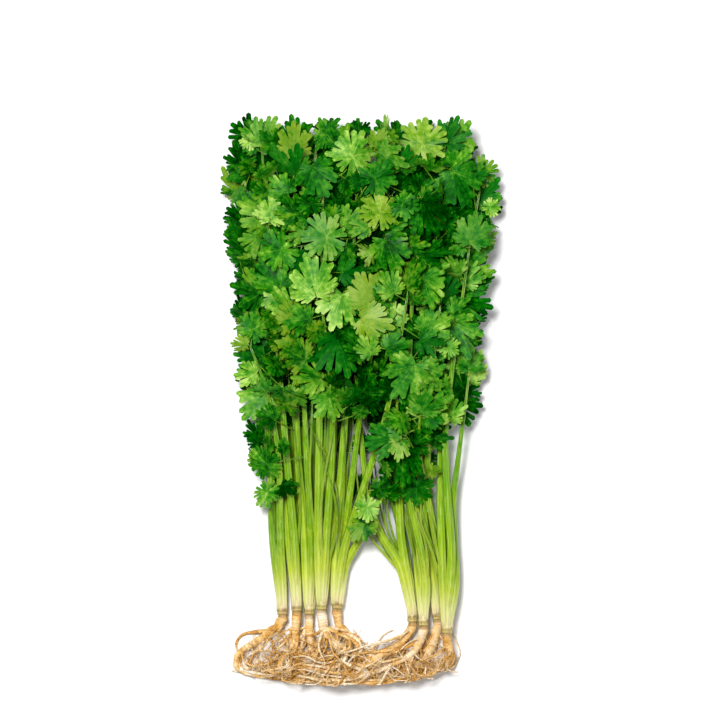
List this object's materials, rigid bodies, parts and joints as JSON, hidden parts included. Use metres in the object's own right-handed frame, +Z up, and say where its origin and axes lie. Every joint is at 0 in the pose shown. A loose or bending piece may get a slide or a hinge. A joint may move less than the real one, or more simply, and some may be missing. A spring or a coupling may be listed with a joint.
{
  "type": "coriander bunch",
  "caption": "Loose bunch of fresh young coriander plants with lobed leaves, pale stems and tan roots, lying on a table.",
  "frame": {"origin": "centre of the bunch's footprint, on the table that it lies on", "axes": "+X across the bunch, +Y from the roots to the leaf tips, +Z up from the table"},
  "size_m": [0.1576, 0.3164, 0.0455],
  "materials": {
    "leaf_and_stem": "fresh leaf and stem, satin",
    "root": "washed root, dull"
  },
  "bodies": {
    "root": {"left_1_greens": "leaf_and_stem", "left_1_roots": "root", "left_2_greens": "leaf_and_stem", "left_2_roots": "root", "left_3_greens": "leaf_and_stem", "left_3_roots": "root", "left_4_greens": "leaf_and_stem", "left_4_roots": "root", "left_5_greens": "leaf_and_stem", "left_5_roots": "root", "right_1_greens": "leaf_and_stem", "right_1_roots": "root", "right_2_greens": "leaf_and_stem", "right_2_roots": "root", "right_3_greens": "leaf_and_stem", "right_3_roots": "root", "right_4_greens": "leaf_and_stem", "right_4_roots": "root"}
  },
  "joints": []
}
